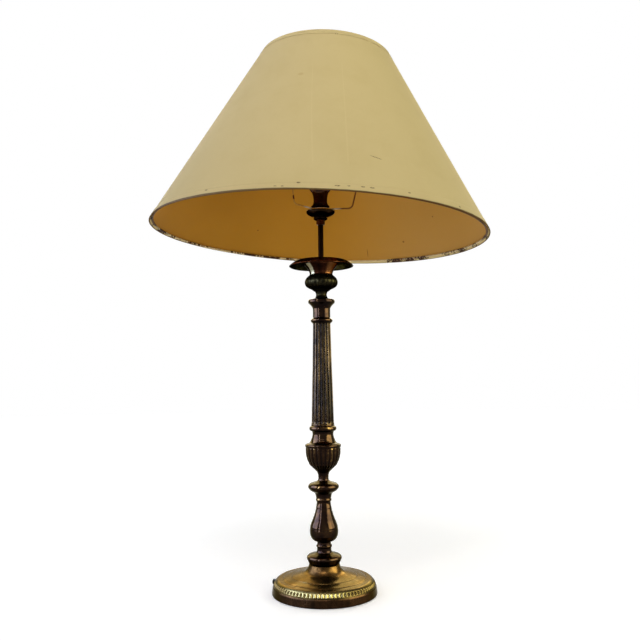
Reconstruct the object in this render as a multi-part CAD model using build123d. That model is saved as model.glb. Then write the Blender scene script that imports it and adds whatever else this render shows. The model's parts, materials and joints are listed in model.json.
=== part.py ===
from build123d import *
from math import atan2, cos, pi, radians, sin
import os

os.makedirs("parts", exist_ok=True)

# A brass candlestick made into a table lamp, with a large cone shade.
# Millimetres, +Z up. The origin is the centre of the face that it stands on,
# and the stem's axis is Z. The front is -Y.

# ---- foot ----
foot_radius = 76.0
foot_gap = 0.8  # the metal rim stays this far above the table
band_height = 12.0
band_top_radius = 74.5
border_inner_radius = 66.0
border_top = 21.5
border_swell = 1.9
border_petals = 82
petal_notch_radius = 1.0
petal_notch_lift = 0.5  # the notch's centre line stands this far off the border
petal_notch_inset = 0.9  # and ends this far inside it
border_edge_rise = 0.4
step_radius = 59.5
step_height = 0.7
step_run = 0.8
foot_well_radius = 34.0
foot_well_height = 29.5
foot_neck_radius = 22.0
foot_neck_hollow = 2.2
foot_height = 41.0
foot_wall = 2.0

# ---- under the foot ----
felt_margin = 6.0  # the felt stops this far inside the foot's rim
felt_thickness = 2.0
recess_margin = 4.5  # round the washer, for a spanner
recess_depth = 8.5

# ---- central tube and its nuts ----
tube_radius = 4.0
tube_wall = 1.4
tube_fit = 0.2
tube_low_end = 3.0
nut_wall = 3.5
nut_height = 5.0
washer_margin = 2.0
washer_thickness = 1.6
pan_nut_wall = 3.0
pan_nut_height = 4.5
dish_nut_wall = 2.5
dish_nut_height = 7.5

# ---- cord inlet in the foot's band ----
inlet_azimuth = 155.0
inlet_height = 6.8
inlet_bore_radius = 2.8
inlet_wall = 1.2
inlet_flange_rim = 0.9
inlet_flange_thickness = 1.7
inlet_flange_gap = 0.2  # from the felt's edge
inlet_reach = 8.0
inlet_tip_taper = 0.1
inlet_shoulder_height = 1.2
channel_overrun = 2.0

# ---- stem, from the foot up: height and greatest radius of each turned piece ----
collar_height = 31.0
collar_radius = 25.5
pear_height = 63.0
pear_radius = 20.9
spool_height = 30.0
spool_radius = 22.6
urn_height = 47.5
urn_radius = 25.6
urn_reeds = 24
urn_groove_radius = 1.5
urn_groove_lift = 0.4
shoulder_height = 28.5
shoulder_torus_radius = 19.8
column_height = 149.0
column_foot_radius = 16.9
column_top_radius = 12.9
column_flutes = 16
flute_radius = 2.2
flute_lift = 0.8
capital_height = 36.5
capital_radius = 19.6
knop_height = 36.0
knop_radius = 24.7
knop_lobes = 18
knop_groove_radius = 1.3
knop_groove_lift = 0.5
knop_groove_inset = 1.6
cup_height = 18.0
cup_radius = 25.5
candle_radius = 11.0
cup_floor = 4.0

# ---- drip pan ----
plug_flange_radius = 20.0
plug_flange_height = 2.3
plug_fit = 0.15
pan_radius = 48.0
pan_top_radius = 38.0
pan_drop = 8.2
pan_edge_height = 0.9
pan_crown = 0.9
pan_thickness = 1.2

# ---- dish that carries the shade ----
bare_tube_length = 55.0
dish_radius = 21.5
dish_height = 14.2
dish_lip_height = 1.3
dish_lip_wall = 0.8

# ---- bulb ----
bulb_length = 108.0
bulb_radius = 30.0
bulb_glass_wall = 0.8
bulb_glass_fit = 0.2
bulb_cap_radius = 13.1
bulb_cap_wall = 0.6
bulb_cap_height = 26.0
bulb_cap_cone = 2.8
bulb_contact_radius = 4.7
bulb_contact_height = 1.0
bulb_contact_gap = 0.1
bulb_bead_cone = 2.2
bulb_bead_edge = 0.7
bulb_seat_gap = 0.2
bulb_stem_fit = 0.05
bulb_stem_rim = 1.0
filament_wire_radius = 0.4
filament_span = 22.0
filament_height = 74.0
filament_bend_radius = 3.0

# ---- lamp holder, built up round the bulb's cap ----
thread_clearance = 0.4
sleeve_wall = 0.9
sleeve_length = 22.0
sleeve_lift = 1.0
holder_fit = 0.1
insulator_wall = 4.1
insulator_floor = 6.0
insulator_depth = 20.0
insulator_clearance = 0.9
holder_base_radius = 8.0
holder_flare_radius = 14.0
holder_waist_radius = 10.5
holder_cap_height = 47.0
holder_cap_wall = 1.6
holder_shell_wall = 1.0
holder_shell_height = 34.0
holder_shell_overlap = 3.0
holder_mouth_clearance = 0.3
holder_shoulder_height = 4.0
holder_shoulder_swell = 0.8
holder_mouth_land = 1.5
terminal_screw_radius = 2.5
terminal_screw_height = 3.4
terminal_screw_chamfer = 0.6
terminal_slot_width = 0.8
terminal_slot_depth = 0.7
terminal_spacing = 16.0
contact_strip_length = 14.0
contact_strip_width = 6.0
contact_strip_thickness = 0.6
contact_dome_radius = 2.6
contact_dome_height = 1.6

# ---- shade ----
shade_bottom_radius = 250.0
shade_top_radius = 100.0
shade_height = 270.0
shade_drop = 36.0  # how far its lower edge hangs below the dish
shade_skin = 1.4
shade_tilt = 2.84  # the right side hangs lower
shade_wire_radius = 1.5
shade_wire_inset = 2.2
trim_thickness = 0.5
bottom_trim_height = 10.0
top_trim_height = 8.0
ring_inner_gap = 1.2  # round the lamp holder
ring_outer_gap = 0.9  # inside the dish's lip
ring_thickness = 1.8
ring_fit = 0.15
arm_radius = 1.1
arm_seat = 0.15  # how deep an arm lies in the ring
arm_start_inset = 1.3
arm_reach = 28.5  # from the dish's edge out to the bend
arm_bend_radius = 7.0
arm_azimuths = {"back": 100.0, "left": 220.0, "right": 340.0}

# ---- fits that follow from the sizes above ----
bore_radius = tube_radius + tube_fit
tube_bore_radius = tube_radius - tube_wall
nut_radius = tube_radius + nut_wall
pan_nut_radius = tube_radius + pan_nut_wall
dish_nut_radius = tube_radius + dish_nut_wall
washer_radius = nut_radius + washer_margin
recess_radius = washer_radius + recess_margin
felt_radius = foot_radius - felt_margin
inlet_neck_radius = inlet_bore_radius + inlet_wall
inlet_flange_radius = inlet_neck_radius + inlet_flange_rim
inlet_inner_face = inlet_flange_gap - felt_margin
weight_radius = border_inner_radius - foot_wall
weight_top = border_top - foot_wall
sleeve_radius = bulb_cap_radius + thread_clearance + sleeve_wall
insulator_radius = sleeve_radius + holder_fit + insulator_wall
holder_cap_radius = insulator_radius + insulator_clearance
holder_mouth_radius = sleeve_radius + holder_mouth_clearance
bulb_neck_radius = bulb_cap_radius - bulb_cap_wall - bulb_glass_fit
ring_inner_radius = holder_flare_radius + ring_inner_gap
ring_outer_radius = dish_radius - dish_lip_wall - ring_outer_gap
arm_start_radius = ring_inner_radius + arm_start_inset
arm_bend_at = dish_radius + arm_reach
shade_slope = (shade_top_radius - shade_bottom_radius) / shade_height
wall_lean = atan2(shade_bottom_radius - shade_top_radius, shade_height)

# ---- levels that follow from the sizes above ----
recess_roof = felt_thickness + recess_depth
collar_level = foot_height
pear_level = collar_level + collar_height
spool_level = pear_level + pear_height
urn_level = spool_level + spool_height
shoulder_level = urn_level + urn_height
column_level = shoulder_level + shoulder_height
capital_level = column_level + column_height
knop_level = capital_level + capital_height
cup_level = knop_level + knop_height
plug_level = cup_level + cup_height
pan_top_level = plug_level + plug_flange_height + pan_thickness
dish_nut_level = pan_top_level + bare_tube_length
dish_level = dish_nut_level + dish_nut_height
shelf_level = dish_level + dish_height - dish_lip_height
ring_level = shelf_level + ring_fit
arm_level = ring_level + ring_thickness + arm_radius - arm_seat
tube_top = shelf_level + 0.5 * holder_cap_height
insulator_level = shelf_level + holder_cap_height
contact_level = insulator_level + insulator_floor
bulb_level = contact_level + contact_strip_thickness + contact_dome_height + bulb_seat_gap


# ---- shared forms ----
def path_of(points):
    """Edges through (radius, height, swell) points. A swell bows the edge outward, or inward if negative.

    A point given twice in a row is passed once."""
    edges = []
    for start, end in zip(points, points[1:]):
        if start[:2] == end[:2]:
            continue
        swell = end[2] if len(end) > 2 else 0.0
        across, up = end[0] - start[0], end[1] - start[1]
        if swell:
            span = (across**2 + up**2) ** 0.5
            middle = (
                (start[0] + end[0]) / 2 + swell * up / span,
                (start[1] + end[1]) / 2 - swell * across / span,
            )
            edges.append(ThreePointArc(start[:2], middle, end[:2]))
        else:
            edges.append(Line(start[:2], end[:2]))
    return edges


def turned(outside, inside=((0.0, None),)):
    """A turned piece: its outside from the bottom up, and its inside from the top down."""
    inner = [(r, outside[-1][1] if z is None else z, *swell) for r, z, *swell in inside]
    if len(inner) == 1:
        inner.append((inner[0][0], outside[0][1]))
    section = make_face(path_of([*outside, *inner, outside[0][:2]]))
    return revolve(Plane.XZ * section, Axis.Z)


def bored(outside):
    """A turned piece with a plain bore for the central tube."""
    return turned(outside, ((bore_radius, None),))


def cored(outside, core):
    """A bored turned piece with a wider hollow inside, given from its top down."""
    return turned(outside, ((bore_radius, None), *core, (bore_radius, outside[0][1])))


def around(count, shape):
    return [Rot(0, 0, 360.0 * k / count) * shape for k in range(count)]


def groove(points, radius):
    """A round-ended cutter that follows (radius, height, swell) points up the piece."""
    edges = path_of(points)
    path = Plane.XZ * (Wire(edges) if len(edges) > 1 else edges[0])
    cutter = sweep(Plane(origin=path @ 0, z_dir=path % 0) * Circle(radius), path)
    for end in (path @ 0, path @ 1):
        cutter += Pos(*end) * Sphere(radius)
    return cutter


def hexagon(radius, height, bore):
    return extrude(RegularPolygon(radius, 6) - Circle(bore), height)


def ring(inner, outer, height):
    return extrude(Circle(outer) - Circle(inner), height)


def raised(level, shape):
    return Pos(0, 0, level) * shape


# ---- foot and what is under it ----
foot_outline = [
    (foot_radius, foot_gap),
    (band_top_radius, band_height),
    (border_inner_radius, border_top, border_swell),
    (step_radius, border_top + border_edge_rise),
    (step_radius - step_run, border_top + border_edge_rise + step_height),
    ((step_radius + foot_well_radius) / 2, 0.45 * border_top + 0.55 * foot_well_height),
    (foot_well_radius, foot_well_height),
    (foot_neck_radius, foot_height, -foot_neck_hollow),
]


def base_foot():
    inside = [(r - foot_wall, z - foot_wall, *swell) for r, z, *swell in foot_outline]
    inside[0] = (foot_radius - foot_wall, foot_gap)
    body = turned([(0.0, foot_gap), *foot_outline, (0.0, foot_height)])
    body -= turned([*inside, (0.0, foot_height - foot_wall)])
    body -= Cylinder(bore_radius, 3 * foot_height)
    notch = groove(
        [
            (band_top_radius + petal_notch_lift, band_height + petal_notch_inset),
            (border_inner_radius + petal_notch_inset, border_top, border_swell),
        ],
        petal_notch_radius,
    )
    body -= around(border_petals, notch)
    return body - inlet_frame() * Cylinder(inlet_neck_radius, 4 * inlet_reach)


def felt_pad():
    return extrude(Circle(felt_radius), felt_thickness)


def base_weight():
    disc = raised(felt_thickness, ring(bore_radius, weight_radius, weight_top - felt_thickness))
    recess = Cylinder(recess_radius, 2 * recess_roof)
    channel = Box(weight_radius + 2 * channel_overrun, 2 * inlet_neck_radius, 2 * inlet_neck_radius)
    return disc - recess - Rot(0, 0, inlet_azimuth) * Pos(weight_radius / 2, 0, inlet_height) * channel


def inlet_frame():
    """The foot's rim where the cord comes in, with Z pointing out along the cord."""
    outward = radians(inlet_azimuth)
    place = (foot_radius * cos(outward), foot_radius * sin(outward), inlet_height)
    return Plane(origin=place, z_dir=(cos(outward), sin(outward), 0))


def cord_inlet():
    tip_radius = inlet_neck_radius - inlet_tip_taper
    outside = [
        (inlet_flange_radius, inlet_inner_face),
        (inlet_flange_radius, inlet_inner_face + inlet_flange_thickness),
        (inlet_neck_radius, inlet_inner_face + inlet_flange_thickness),
        (inlet_neck_radius, 0.0),
        (inlet_flange_radius, 0.0),
        (inlet_flange_radius, inlet_flange_thickness),
        (tip_radius, inlet_flange_thickness + inlet_shoulder_height, -0.3),
        (tip_radius, inlet_reach),
    ]
    return inlet_frame() * turned(outside, ((inlet_bore_radius, None),))


def lock_washer():
    return raised(recess_roof - washer_thickness, ring(bore_radius, washer_radius, washer_thickness))


def lock_nut():
    level = recess_roof - washer_thickness - nut_height
    return raised(level, hexagon(nut_radius, nut_height, tube_radius))


def lamp_tube():
    return raised(tube_low_end, ring(tube_bore_radius, tube_radius, tube_top - tube_low_end))


# ---- stem ----
def stem_collar():
    r, h = collar_radius, collar_height
    outside = [
        (foot_neck_radius - 0.2, 0.0),
        (r, 0.30 * h, 0.4),
        (0.87 * r, 0.47 * h, 1.1),
        (0.46 * r, 0.58 * h, 0.5),
        (0.41 * r, 0.72 * h, -0.4),
        (0.42 * r, 0.77 * h),
        (0.42 * r, 0.87 * h, 0.7),
        (0.385 * r, 0.90 * h),
        (0.385 * r, h),
    ]
    core = [(bore_radius, 0.44 * h), (0.72 * r, 0.36 * h), (0.72 * r, 0.0)]
    return turned(outside, ((bore_radius, None), *core))


def pear_baluster():
    r, h = pear_radius, pear_height
    outside = [
        (0.385 * collar_radius, 0.0),
        (0.55 * r, 0.025 * h),
        (0.93 * r, 0.145 * h, 1.0),
        (0.985 * r, 0.31 * h, 0.55),
        (0.71 * r, 0.58 * h, 0.5),
        (0.49 * r, 0.90 * h, -0.7),
        (0.52 * r, 0.935 * h),
        (0.52 * r, 0.985 * h, 0.5),
        (0.50 * r, h),
    ]
    core = [(bore_radius, 0.80 * h), (0.45 * r, 0.62 * h), (0.78 * r, 0.30 * h), (0.78 * r, 0.17 * h)]
    return cored(outside, [*core, (bore_radius, 0.10 * h)])


def spool():
    r, h = spool_radius, spool_height
    outside = [
        (0.50 * pear_radius, 0.0),
        (0.53 * r, 0.17 * h, -0.3),
        (0.72 * r, 0.31 * h, -0.8),
        (0.90 * r, 0.41 * h),
        (0.985 * r, 0.49 * h, 0.25),
        (0.985 * r, 0.58 * h, 0.35),
        (0.87 * r, 0.70 * h, 0.5),
        (0.52 * r, 0.79 * h, 0.3),
        (0.39 * r, 0.84 * h, -0.2),
        (0.33 * r, h, -0.3),
    ]
    return bored(outside)


urn_bowl = [(0.60 * urn_radius, 0.30 * urn_height), (0.985 * urn_radius, 0.88 * urn_height, 4.4)]


def urn():
    r, h = urn_radius, urn_height
    outside = [
        (0.33 * spool_radius, 0.0),
        (0.36 * r, 0.14 * h, -0.4),
        (0.50 * r, 0.25 * h, -0.4),
        *urn_bowl,
        (r, 0.93 * h, 0.3),
        (1.03 * r, 0.955 * h),
        (1.03 * r, 0.985 * h, 0.3),
        (1.0 * r, h),
    ]
    core = [(0.80 * r, h), (0.80 * r, 0.60 * h), (0.58 * r, 0.40 * h), (bore_radius, 0.28 * h)]
    body = turned(outside, (*core, (bore_radius, 0.0)))
    low, high = urn_bowl
    groove_line = [
        (low[0] + urn_groove_lift, low[1] + urn_groove_radius),
        (high[0] + urn_groove_lift, high[1] - urn_groove_radius, high[2]),
    ]
    return body - around(urn_reeds, groove(groove_line, urn_groove_radius))


def urn_shoulder():
    h, torus = shoulder_height, shoulder_torus_radius
    outside = [
        (0.97 * urn_radius, 0.0),
        (0.80 * urn_radius, 0.06 * h, 0.4),
        (0.77 * torus + 0.4, 0.50 * h, -1.9),
        (0.83 * torus, 0.61 * h, -0.2),
        (0.87 * torus, 0.67 * h),
        (0.90 * torus, 0.92 * h, 2.1),
        (column_foot_radius, 0.94 * h),
        (column_foot_radius, h),
    ]
    return bored(outside)


def fluted_column():
    h = column_height
    outside = [
        (column_foot_radius, 0.0),
        (column_foot_radius, 0.01 * h),
        (0.96 * column_foot_radius, 0.03 * h, -0.15),
        (column_top_radius, 0.97 * h),
        (column_top_radius, h),
    ]
    core_radius = 0.62 * column_top_radius
    body = cored(outside, [(bore_radius, 0.97 * h), (core_radius, 0.95 * h), (core_radius, 0.04 * h)])
    flute = groove(
        [
            (0.96 * column_foot_radius + flute_lift, 0.025 * h),
            (column_top_radius + flute_lift, 0.955 * h),
        ],
        flute_radius,
    )
    return body - around(column_flutes, flute)


def column_capital():
    r, h = capital_radius, capital_height
    outside = [
        (0.70 * r, 0.0),
        (0.70 * r, 0.02 * h),
        (0.71 * r, 0.18 * h, 1.3),
        (0.64 * r, 0.22 * h),
        (0.64 * r, 0.41 * h),
        (0.60 * r, 0.47 * h),
        (0.60 * r, 0.58 * h),
        (0.97 * r, 0.84 * h, -1.4),
        (r, 0.87 * h),
        (r, 0.96 * h, 0.25),
        (0.95 * r, h),
    ]
    return bored(outside)


knop_belly = [(0.80 * knop_radius, 0.52 * knop_height), (knop_radius, 0.71 * knop_height, 1.1)]
knop_crown = [knop_belly[1][:2], (0.76 * knop_radius, 0.97 * knop_height, 1.0)]


def candle_knop():
    r, h = knop_radius, knop_height
    outside = [
        (0.47 * r, 0.0),
        (0.42 * r, 0.04 * h),
        (0.32 * r, 0.19 * h, -0.4),
        (0.37 * r, 0.30 * h, -0.2),
        (0.60 * r, 0.45 * h, -0.5),
        *knop_belly,
        *knop_crown[1:],
        (0.72 * r, h),
    ]
    core = [(bore_radius, 0.94 * h), (0.62 * r, 0.88 * h), (0.76 * r, 0.72 * h), (0.45 * r, 0.54 * h)]
    body = cored(outside, [*core, (bore_radius, 0.46 * h)])
    for low, high in (knop_belly, knop_crown):
        line = [
            (low[0] + knop_groove_lift, low[1] + knop_groove_inset),
            (high[0] + knop_groove_lift, high[1] - knop_groove_inset, high[2]),
        ]
        body -= around(knop_lobes, groove(line, knop_groove_radius))
    return body


def candle_cup():
    r, h = cup_radius, cup_height
    outside = [(0.70 * r, 0.0), (0.67 * r, 0.12 * h), (0.96 * r, 0.80 * h, -1.3), (r, 0.88 * h), (r, h)]
    inside = ((candle_radius, None), (candle_radius, cup_floor), (bore_radius, cup_floor), (bore_radius, 0.0))
    return turned(outside, inside)


# ---- drip pan, its plug and nut ----
def cup_plug():
    radius = candle_radius - plug_fit
    outside = [
        (radius, cup_level + cup_floor),
        (radius, plug_level),
        (plug_flange_radius, plug_level),
        (plug_flange_radius, plug_level + plug_flange_height),
    ]
    return bored(outside)


def drip_pan():
    top, low = pan_top_level, pan_top_level - pan_drop
    outside = [(pan_radius, low), (pan_radius, low + pan_edge_height, 0.3), (pan_top_radius, top, pan_crown)]
    inside = (
        (bore_radius, top),
        (bore_radius, top - pan_thickness),
        (pan_top_radius - pan_thickness / 2, top - pan_thickness),
        (pan_radius - pan_thickness, low, -pan_crown),
    )
    return turned(outside, inside)


def pan_nut():
    return raised(pan_top_level, hexagon(pan_nut_radius, pan_nut_height, tube_radius))


# ---- dish ----
def dish_nut():
    r, h = dish_nut_radius, dish_nut_height
    outside = [(0.85 * r, 0.0), (r, 0.12 * h), (r, 0.88 * h), (0.85 * r, h)]
    return raised(dish_nut_level, turned(outside, ((tube_radius, None),)))


def shade_dish():
    r, h = dish_radius, dish_height
    shelf = h - dish_lip_height
    lip_inside = r - dish_lip_wall
    outside = [
        (0.85 * dish_nut_radius, 0.0),
        (0.43 * r, 0.25 * h, -0.4),
        (0.53 * r, 0.46 * h, 0.2),
        (0.97 * r, 0.86 * h, -1.5),
        (r, 0.90 * h),
        (r, h),
    ]
    inside = ((lip_inside, h), (lip_inside, shelf), (bore_radius, shelf), (bore_radius, 0.0))
    return raised(dish_level, turned(outside, inside))


# ---- lamp holder ----
def holder_cap():
    h, wall = holder_cap_height, holder_cap_wall
    outside = [
        (holder_base_radius, 0.0),
        (holder_base_radius, 0.05 * h),
        (holder_flare_radius, 0.14 * h, -0.7),
        (holder_flare_radius, 0.17 * h),
        (holder_waist_radius, 0.37 * h, -1.2),
        (1.2 * holder_waist_radius, 0.63 * h, -0.6),
        (holder_cap_radius, 0.89 * h, 1.0),
        (holder_cap_radius, h),
    ]
    inside = (
        (holder_cap_radius - wall, h),
        (holder_cap_radius - wall, 0.91 * h),
        (0.95 * holder_waist_radius, 0.66 * h),
        (bore_radius, 0.58 * h),
        (bore_radius, 0.0),
    )
    return raised(shelf_level, turned(outside, inside))


def holder_shell():
    inner = holder_cap_radius + holder_fit
    outer = inner + holder_shell_wall
    low = holder_cap_height - holder_shell_overlap
    high = low + holder_shell_height
    mouth = holder_mouth_radius
    ceiling = high - holder_shell_wall
    outside = [
        (outer, low),
        (outer, high - holder_shoulder_height),
        (mouth + holder_mouth_land, high, holder_shoulder_swell),
        (mouth, high),
    ]
    inside = (
        (mouth, ceiling),
        (mouth + 0.7 * holder_mouth_land, ceiling),
        (inner, ceiling - 0.85 * holder_shoulder_height, -holder_shoulder_swell),
        (inner, low),
    )
    return raised(shelf_level, turned(outside, inside))


def holder_insulator():
    bottom, top = insulator_level, insulator_level + insulator_floor + insulator_depth
    outside = [(insulator_radius, bottom), (insulator_radius, top)]
    bore = sleeve_radius + holder_fit
    return turned(outside, ((bore, top), (bore, contact_level), (0.0, contact_level), (0.0, bottom)))


def holder_sleeve():
    return raised(contact_level + sleeve_lift, ring(sleeve_radius - sleeve_wall, sleeve_radius, sleeve_length))


def holder_contact():
    strip = Pos(0, 0, contact_strip_thickness / 2) * Box(
        contact_strip_length, contact_strip_width, contact_strip_thickness
    )
    dome = turned(
        [
            (contact_dome_radius, 0.0),
            (contact_dome_radius, contact_strip_thickness + 0.5 * contact_dome_height),
            (0.6 * contact_dome_radius, contact_strip_thickness + contact_dome_height),
        ]
    )
    return raised(contact_level, strip + dome)


def terminal_screws():
    """Two screw heads under the insulator, each with its slot facing down."""
    screw = turned(
        [
            (terminal_screw_radius - terminal_screw_chamfer, 0.0),
            (terminal_screw_radius, terminal_screw_chamfer),
            (terminal_screw_radius, terminal_screw_height),
        ]
    )
    screw -= Box(terminal_slot_width, 3 * terminal_screw_radius, 2 * terminal_slot_depth)
    level = insulator_level - terminal_screw_height
    return Compound(children=[Pos(side * terminal_spacing / 2, 0, level) * screw for side in (-1, 1)])


# ---- bulb ----
def bulb_contact():
    outside = [
        (0.6 * bulb_contact_radius, 0.0),
        (bulb_contact_radius, 0.6 * bulb_contact_height, 0.1),
        (bulb_contact_radius, bulb_contact_height),
    ]
    return raised(bulb_level, turned(outside))


bead_level = bulb_contact_height + bulb_contact_gap
bead_radius = 0.75 * bulb_cap_radius
bead_shoulder = bead_level + bulb_bead_cone


def bulb_insulator():
    outside = [
        (bulb_contact_radius, bead_level),
        (bead_radius, bead_shoulder),
        (bead_radius, bead_shoulder + bulb_bead_edge),
    ]
    return raised(bulb_level, turned(outside))


def bulb_cap():
    outer, inner = bulb_cap_radius, bulb_cap_radius - bulb_cap_wall
    outside = [(bead_radius, bead_shoulder), (outer, bead_shoulder + bulb_cap_cone), (outer, bulb_cap_height)]
    inside = (
        (inner, bulb_cap_height),
        (inner, bead_shoulder + bulb_cap_cone + bulb_bead_edge / 2),
        (bead_radius, bead_shoulder + bulb_bead_edge),
    )
    return raised(bulb_level, turned(outside, inside))


def globe(thinner):
    """The glass outline, or the same drawn in by a wall."""
    centre = bulb_length - bulb_radius
    r = bulb_radius - thinner
    quarter = r * (1 - cos(pi / 4))
    return [
        (bulb_neck_radius - thinner, 0.72 * bulb_cap_height),
        (bulb_neck_radius - thinner, bulb_cap_height + 1.0),
        (0.68 * bulb_radius - thinner, bulb_cap_height + 0.46 * (centre - bulb_cap_height), -0.9),
        (r, centre, 2.4),
        (0.0, centre + r, quarter),
    ]


def bulb_glass():
    solid = turned([(0.0, globe(0.0)[0][1]), *globe(0.0)])
    hollow = turned([(0.0, globe(0.0)[0][1]), *globe(bulb_glass_wall)])
    return raised(bulb_level, solid - hollow)


def bulb_stem():
    """The glass mount inside, whose flared foot fills the neck."""
    bottom, top = 0.75 * bulb_cap_height, 0.62 * filament_height
    flare = bulb_neck_radius - bulb_glass_wall - bulb_stem_fit
    outside = [
        (flare, bottom),
        (flare, bottom + bulb_stem_rim),
        (0.28 * bulb_neck_radius, 0.55 * top + 0.45 * bottom, -1.5),
        (0.24 * bulb_neck_radius, top),
        (0.0, top + 0.24 * bulb_neck_radius),
    ]
    return raised(bulb_level, turned([(0.0, bottom), *outside]))


def bulb_filament():
    low = 0.56 * filament_height
    half = filament_span / 2
    near = 0.25 * bulb_neck_radius
    corners = [(-near, 0, low), (-half, 0, filament_height), (half, 0, filament_height), (near, 0, low)]
    route = FilletPolyline(*corners, radius=filament_bend_radius)
    wire = sweep(Plane(origin=route @ 0, z_dir=route % 0) * Circle(filament_wire_radius), route)
    return raised(bulb_level, wire) - bulb_stem()


# ---- shade, drawn upright about the spider's ring and then tilted ----
def tilted(shape):
    return Pos(0, 0, arm_level) * Rot(0, shade_tilt, 0) * shape


shade_low = -shade_drop - (arm_level - (dish_level + dish_height))
shade_high = shade_low + shade_height


def cone_radius(height):
    return shade_bottom_radius + shade_slope * (height - shade_low)


def band(low, high, inset, outset):
    """A conical band that lies along the shade's wall."""
    return turned(
        [(cone_radius(low) + outset, low), (cone_radius(high) + outset, high)],
        ((cone_radius(high) - inset, high), (cone_radius(low) - inset, low)),
    )


def shade_cover():
    return tilted(band(shade_low, shade_high, shade_skin, 0.0))


def wire_place(height):
    """Radius of a wire ring that lies inside the wall at this height."""
    return cone_radius(height) - shade_skin - shade_wire_radius / cos(wall_lean)


bottom_wire_height = shade_low + shade_wire_inset
top_wire_height = shade_high - shade_wire_inset


def wire_ring(height):
    return Pos(0, 0, height) * Torus(wire_place(height), shade_wire_radius)


def shade_bottom_ring():
    return tilted(wire_ring(bottom_wire_height))


def shade_top_ring():
    return tilted(wire_ring(top_wire_height))


def edge_trim(edge, band_end):
    """Tape over one edge of the cover: a band outside it and a strip across the edge."""
    away = trim_thickness if edge > band_end else -trim_thickness
    outer_edge = (cone_radius(edge) + trim_thickness, edge + away)
    loop = [
        (cone_radius(edge) - shade_skin, edge + away),
        outer_edge,
        (cone_radius(band_end) + trim_thickness, band_end),
        (cone_radius(band_end), band_end),
        (cone_radius(edge), edge),
        (cone_radius(edge) - shade_skin, edge),
    ]
    section = make_face(path_of([*loop, loop[0]]))
    return revolve(Plane.XZ * section, Axis.Z)


def shade_bottom_trim():
    return tilted(edge_trim(shade_low, shade_low + bottom_trim_height))


def shade_top_trim():
    return tilted(edge_trim(shade_high, shade_high - top_trim_height))


def spider_arm(azimuth):
    """One wire from the ring, out past the dish, and up to the shade's top ring."""
    outward = radians(azimuth)
    start = (arm_start_radius * cos(outward), arm_start_radius * sin(outward), arm_level)
    lean = Rot(0, shade_tilt, 0)
    ends = []
    for radius, height in ((arm_bend_at, 0.0), (wire_place(top_wire_height), top_wire_height)):
        place = lean * Pos(radius * cos(outward), radius * sin(outward), height)
        ends.append(tuple(place.position + Vector(0, 0, arm_level)))
    route = FilletPolyline(start, *ends, radius=arm_bend_radius)
    wire = sweep(Plane(origin=route @ 0, z_dir=route % 0) * Circle(arm_radius), route)
    return wire - shade_top_ring()


def spider_ring():
    seat = raised(ring_level, ring(ring_inner_radius, ring_outer_radius, ring_thickness))
    return seat - [spider_arm(azimuth) for azimuth in arm_azimuths.values()]


nodes = {
    "felt_pad": felt_pad(),
    "base_weight": base_weight(),
    "base_foot": base_foot(),
    "cord_inlet": cord_inlet(),
    "lock_washer": lock_washer(),
    "lock_nut": lock_nut(),
    "lamp_tube": lamp_tube(),
    "stem_collar": raised(collar_level, stem_collar()),
    "pear_baluster": raised(pear_level, pear_baluster()),
    "spool": raised(spool_level, spool()),
    "urn": raised(urn_level, urn()),
    "urn_shoulder": raised(shoulder_level, urn_shoulder()),
    "fluted_column": raised(column_level, fluted_column()),
    "column_capital": raised(capital_level, column_capital()),
    "candle_knop": raised(knop_level, candle_knop()),
    "candle_cup": raised(cup_level, candle_cup()),
    "cup_plug": cup_plug(),
    "drip_pan": drip_pan(),
    "pan_nut": pan_nut(),
    "dish_nut": dish_nut(),
    "shade_dish": shade_dish(),
    "holder_cap": holder_cap(),
    "holder_shell": holder_shell(),
    "holder_insulator": holder_insulator(),
    "holder_sleeve": holder_sleeve(),
    "holder_contact": holder_contact(),
    "terminal_screws": terminal_screws(),
    "bulb_contact": bulb_contact(),
    "bulb_insulator": bulb_insulator(),
    "bulb_cap": bulb_cap(),
    "bulb_glass": bulb_glass(),
    "bulb_stem": bulb_stem(),
    "bulb_filament": bulb_filament(),
    "spider_ring": spider_ring(),
    "shade_top_ring": shade_top_ring(),
    "shade_bottom_ring": shade_bottom_ring(),
    "shade_cover": shade_cover(),
    "shade_top_trim": shade_top_trim(),
    "shade_bottom_trim": shade_bottom_trim(),
}
for side, azimuth in arm_azimuths.items():
    nodes["spider_arm_" + side] = spider_arm(azimuth)

for name, shape in nodes.items():
    export_step(shape, f"parts/{name}.step")
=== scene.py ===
import json
import math

import bpy
import numpy as np
from mathutils import Matrix, Vector


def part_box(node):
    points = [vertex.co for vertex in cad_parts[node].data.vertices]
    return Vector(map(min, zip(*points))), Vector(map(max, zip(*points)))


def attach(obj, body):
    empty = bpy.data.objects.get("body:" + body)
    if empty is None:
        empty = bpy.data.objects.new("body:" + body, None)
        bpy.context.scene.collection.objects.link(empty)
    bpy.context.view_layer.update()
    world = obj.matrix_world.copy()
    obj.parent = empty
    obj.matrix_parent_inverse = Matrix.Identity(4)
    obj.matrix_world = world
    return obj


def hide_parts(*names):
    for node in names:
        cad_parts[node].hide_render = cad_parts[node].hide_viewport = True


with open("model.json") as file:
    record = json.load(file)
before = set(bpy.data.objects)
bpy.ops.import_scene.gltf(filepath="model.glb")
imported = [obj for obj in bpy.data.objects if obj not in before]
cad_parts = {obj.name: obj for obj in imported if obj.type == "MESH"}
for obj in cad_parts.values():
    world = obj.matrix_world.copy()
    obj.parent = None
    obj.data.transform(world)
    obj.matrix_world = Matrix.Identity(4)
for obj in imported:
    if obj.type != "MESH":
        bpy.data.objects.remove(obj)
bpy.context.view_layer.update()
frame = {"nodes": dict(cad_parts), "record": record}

nodes = frame["nodes"]
MM = 0.001


# ---------------------------------------------------------------- places, from the frame
def low(node):
    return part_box(node)[0] / MM


def high(node):
    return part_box(node)[1] / MM


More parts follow.
